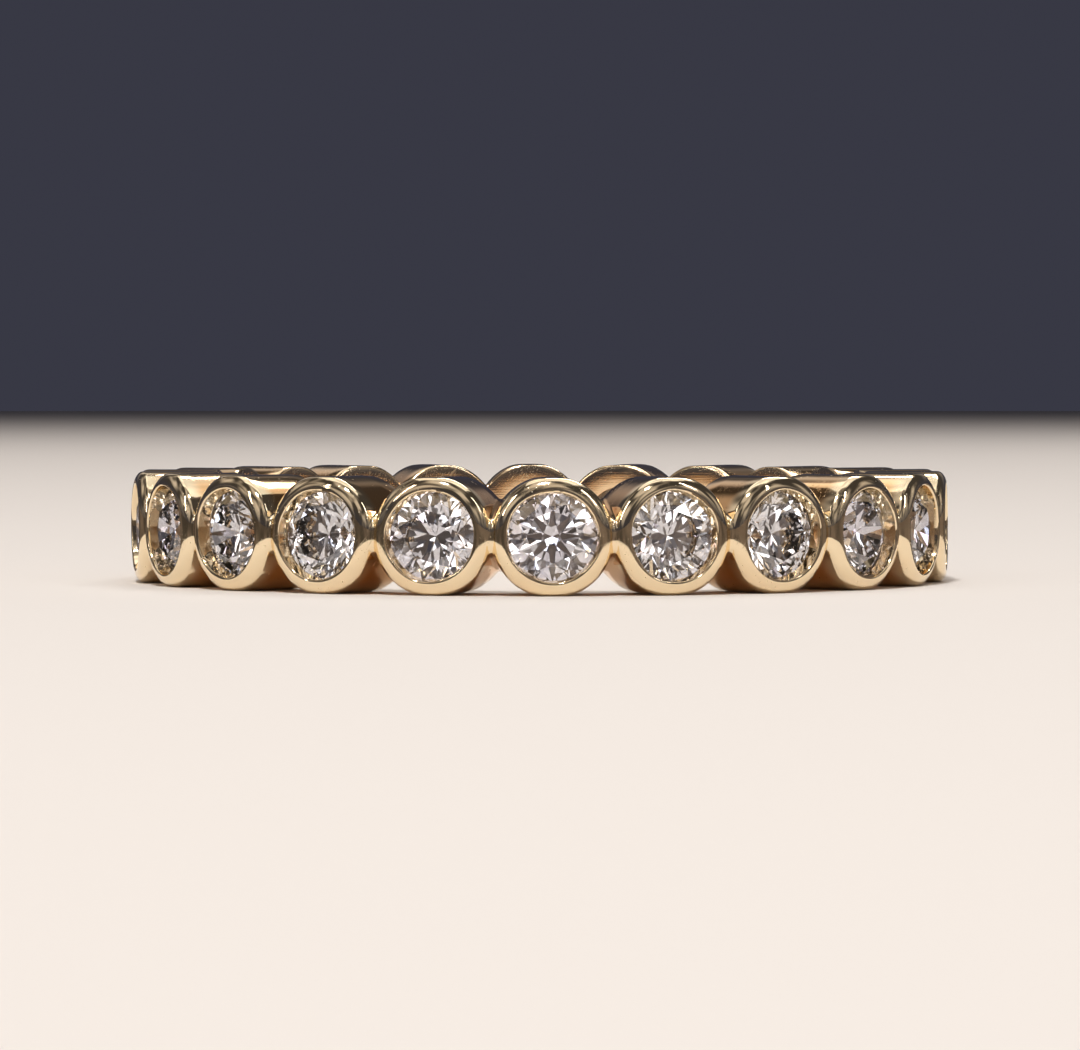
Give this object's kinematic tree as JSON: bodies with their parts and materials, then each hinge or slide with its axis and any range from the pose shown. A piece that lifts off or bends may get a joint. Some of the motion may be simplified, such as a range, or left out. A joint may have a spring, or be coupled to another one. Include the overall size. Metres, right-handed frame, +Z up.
{
  "type": "stackable ring",
  "caption": "Slim stacking ring: a full hoop of soldered round gold bezels with domed rims and open backs, each holding a round brilliant-cut stone.",
  "frame": {"origin": "on the surface that the ring lies on, under the middle of the finger hole", "axes": "+Z up, along the finger hole; the middle of one bezel faces -Y and another faces +Y"},
  "size_m": [0.0212, 0.0212, 0.0029],
  "materials": {
    "gold": "14 carat yellow gold, mirror polished",
    "diamond": "polished facets"
  },
  "bodies": {
    "root": {"bezel_band": "gold", "stone_01": "diamond", "stone_02": "diamond", "stone_03": "diamond", "stone_04": "diamond", "stone_05": "diamond", "stone_06": "diamond", "stone_07": "diamond", "stone_08": "diamond", "stone_09": "diamond", "stone_10": "diamond", "stone_11": "diamond", "stone_12": "diamond", "stone_13": "diamond", "stone_14": "diamond", "stone_15": "diamond", "stone_16": "diamond", "stone_17": "diamond", "stone_18": "diamond", "stone_19": "diamond", "stone_20": "diamond", "stone_21": "diamond", "stone_22": "diamond"}
  },
  "joints": []
}
